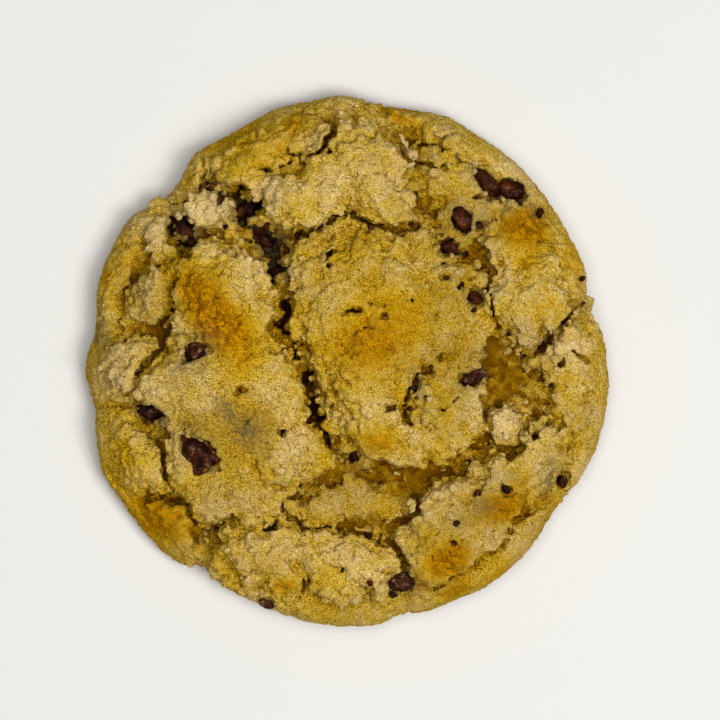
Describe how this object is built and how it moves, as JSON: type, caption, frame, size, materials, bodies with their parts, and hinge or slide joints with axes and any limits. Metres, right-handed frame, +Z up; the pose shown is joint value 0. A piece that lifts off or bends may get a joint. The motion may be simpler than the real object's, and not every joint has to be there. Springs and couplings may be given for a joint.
{
  "type": "chocolate chip cookie",
  "caption": "Thick round baked cookie with a broken, craggy top, deep cracks, a rough rim and chocolate chips set in the dough.",
  "frame": {"origin": "middle of the flat underside, on the surface the cookie rests on", "axes": "+Z up out of the craggy top; +Y towards the raised flap at the rim; +X to the right of it seen from above"},
  "size_m": [0.1016, 0.1031, 0.0247],
  "materials": {
    "dough": "matte, grainy baked dough with toasted patches",
    "chocolate": "dark chocolate, dull satin"
  },
  "bodies": {
    "root": {"dough": "dough", "chip_01": "chocolate", "chip_02": "chocolate", "chip_03": "chocolate", "chip_04": "chocolate", "chip_05": "chocolate", "chip_06": "chocolate", "chip_07": "chocolate", "chip_08": "chocolate", "chip_09": "chocolate", "chip_10": "chocolate", "chip_11": "chocolate", "chip_12": "chocolate", "chip_13": "chocolate", "chip_14": "chocolate", "chip_15": "chocolate", "chip_16": "chocolate"}
  },
  "joints": []
}
